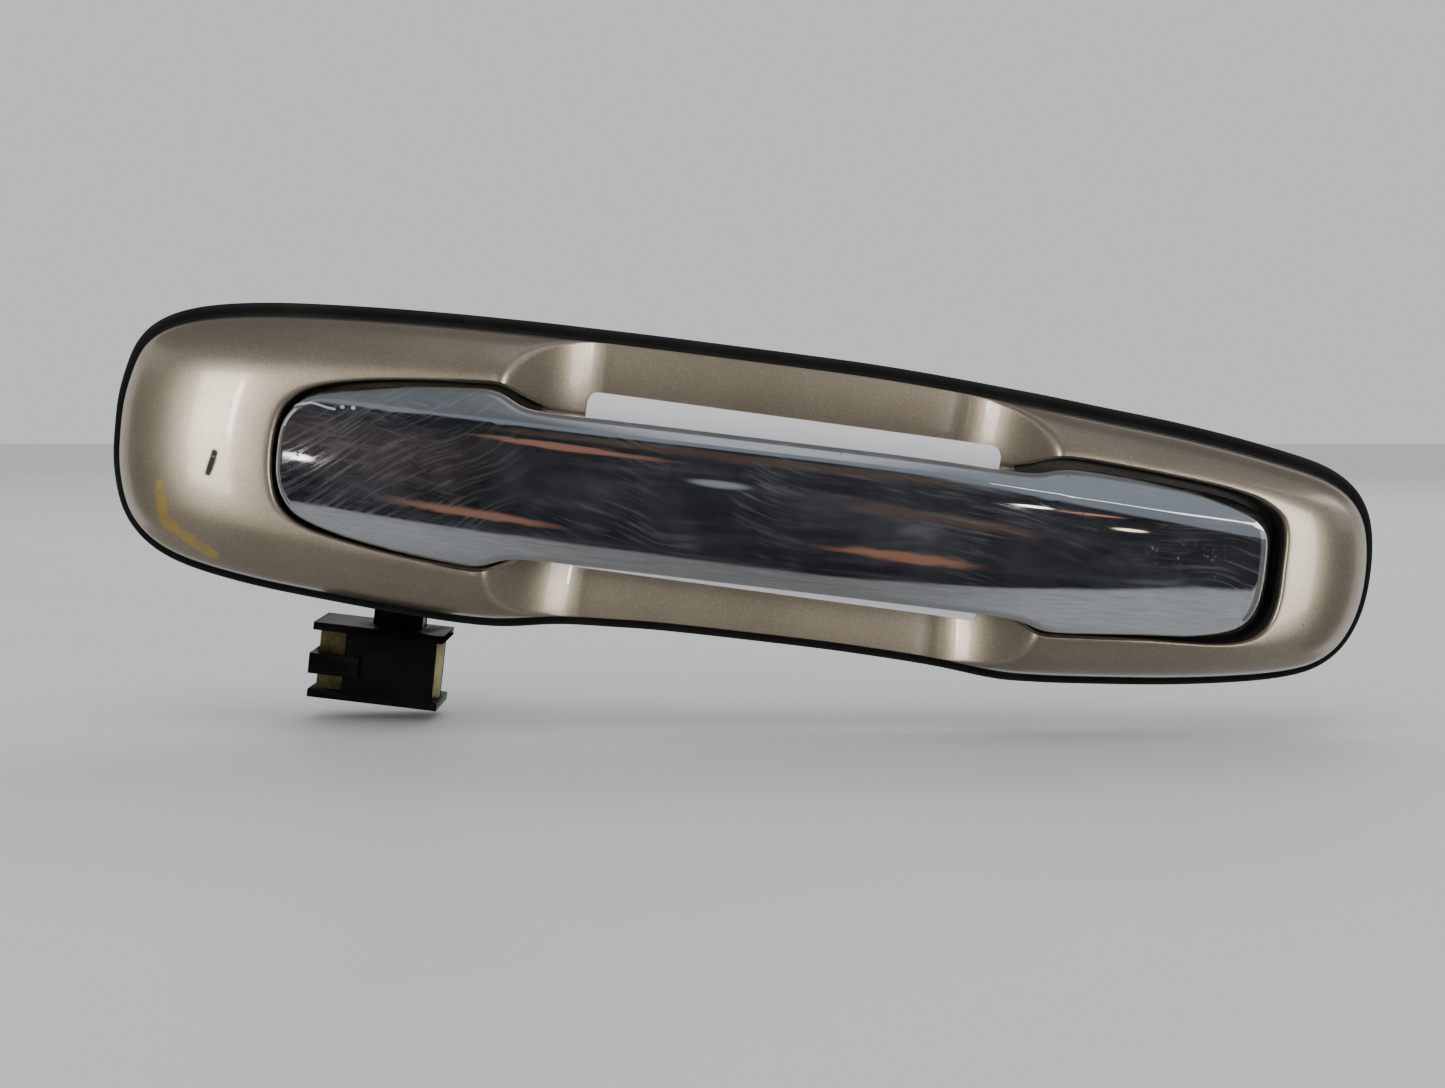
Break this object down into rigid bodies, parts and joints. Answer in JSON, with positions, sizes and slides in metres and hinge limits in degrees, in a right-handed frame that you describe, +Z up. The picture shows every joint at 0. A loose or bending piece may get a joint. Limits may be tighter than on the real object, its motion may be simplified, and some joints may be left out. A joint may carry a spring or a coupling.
{
  "type": "car door pull handle",
  "caption": "Exterior car door handle: painted cover with a finger scoop, bowed chromed strap hinged at one end, and a bell crank with a counterweight behind.",
  "frame": {"origin": "midway between the two mounting studs, on the plane of the door skin", "axes": "+X along the handle towards its hinge end, +Y into the door along the studs, +Z up"},
  "size_m": [0.255, 0.071, 0.0823],
  "materials": {
    "tan_paint": "satin metallic",
    "black_rubber": "matte",
    "black_plastic": "matte",
    "grey_plastic": "matte",
    "ivory_plastic": "satin",
    "zinc_steel": "satin",
    "spring_steel": "satin",
    "yellow_zinc": "satin",
    "chrome_plate": "polished",
    "white_paper": "matte"
  },
  "bodies": {
    "housing": {"escutcheon": "tan_paint", "perimeter_gasket": "black_rubber", "mounting_chassis": "black_plastic", "mounting_studs": "zinc_steel", "chassis_screws": "zinc_steel", "hinge_pin": "zinc_steel", "hinge_pin_clip": "zinc_steel", "crank_pin": "zinc_steel", "crank_pin_clip": "zinc_steel", "spring_arbor": "grey_plastic", "return_spring": "spring_steel", "rest_bumpers": "black_rubber", "paper_label": "white_paper"},
    "strap": {"strap_shell": "chrome_plate", "strap_liner": "grey_plastic", "hinge_foot": "grey_plastic", "hinge_bushings": "ivory_plastic", "pull_leg": "grey_plastic", "leg_damper": "black_rubber", "strap_screws": "zinc_steel"},
    "crank": {"bell_crank": "black_plastic", "counterweight": "yellow_zinc"},
    "clip": {"rod_clip": "ivory_plastic"}
  },
  "joints": [
    {"name": "strap_pull", "type": "hinge", "parent": "housing", "child": "strap", "pos_m": [0.094, 0.003, 0], "axis": [0, 0, 1], "range_deg": [0, 6.5], "stiffness_Nm_per_rad": 8, "springref_deg": -11.46},
    {"name": "crank_turn", "type": "hinge", "parent": "housing", "child": "crank", "pos_m": [-0.0685, 0.017, -0.023], "axis": [1, 0, 0], "range_deg": [0, 45.5]},
    {"name": "clip_swivel", "type": "hinge", "parent": "crank", "child": "clip", "pos_m": [-0.0735, 0.035, -0.027], "axis": [1, 0, 0], "range_deg": [-60, 60]}
  ],
  "couplings": [
    {"joint": "crank_turn", "follows": "strap_pull", "ratio": 7}
  ]
}
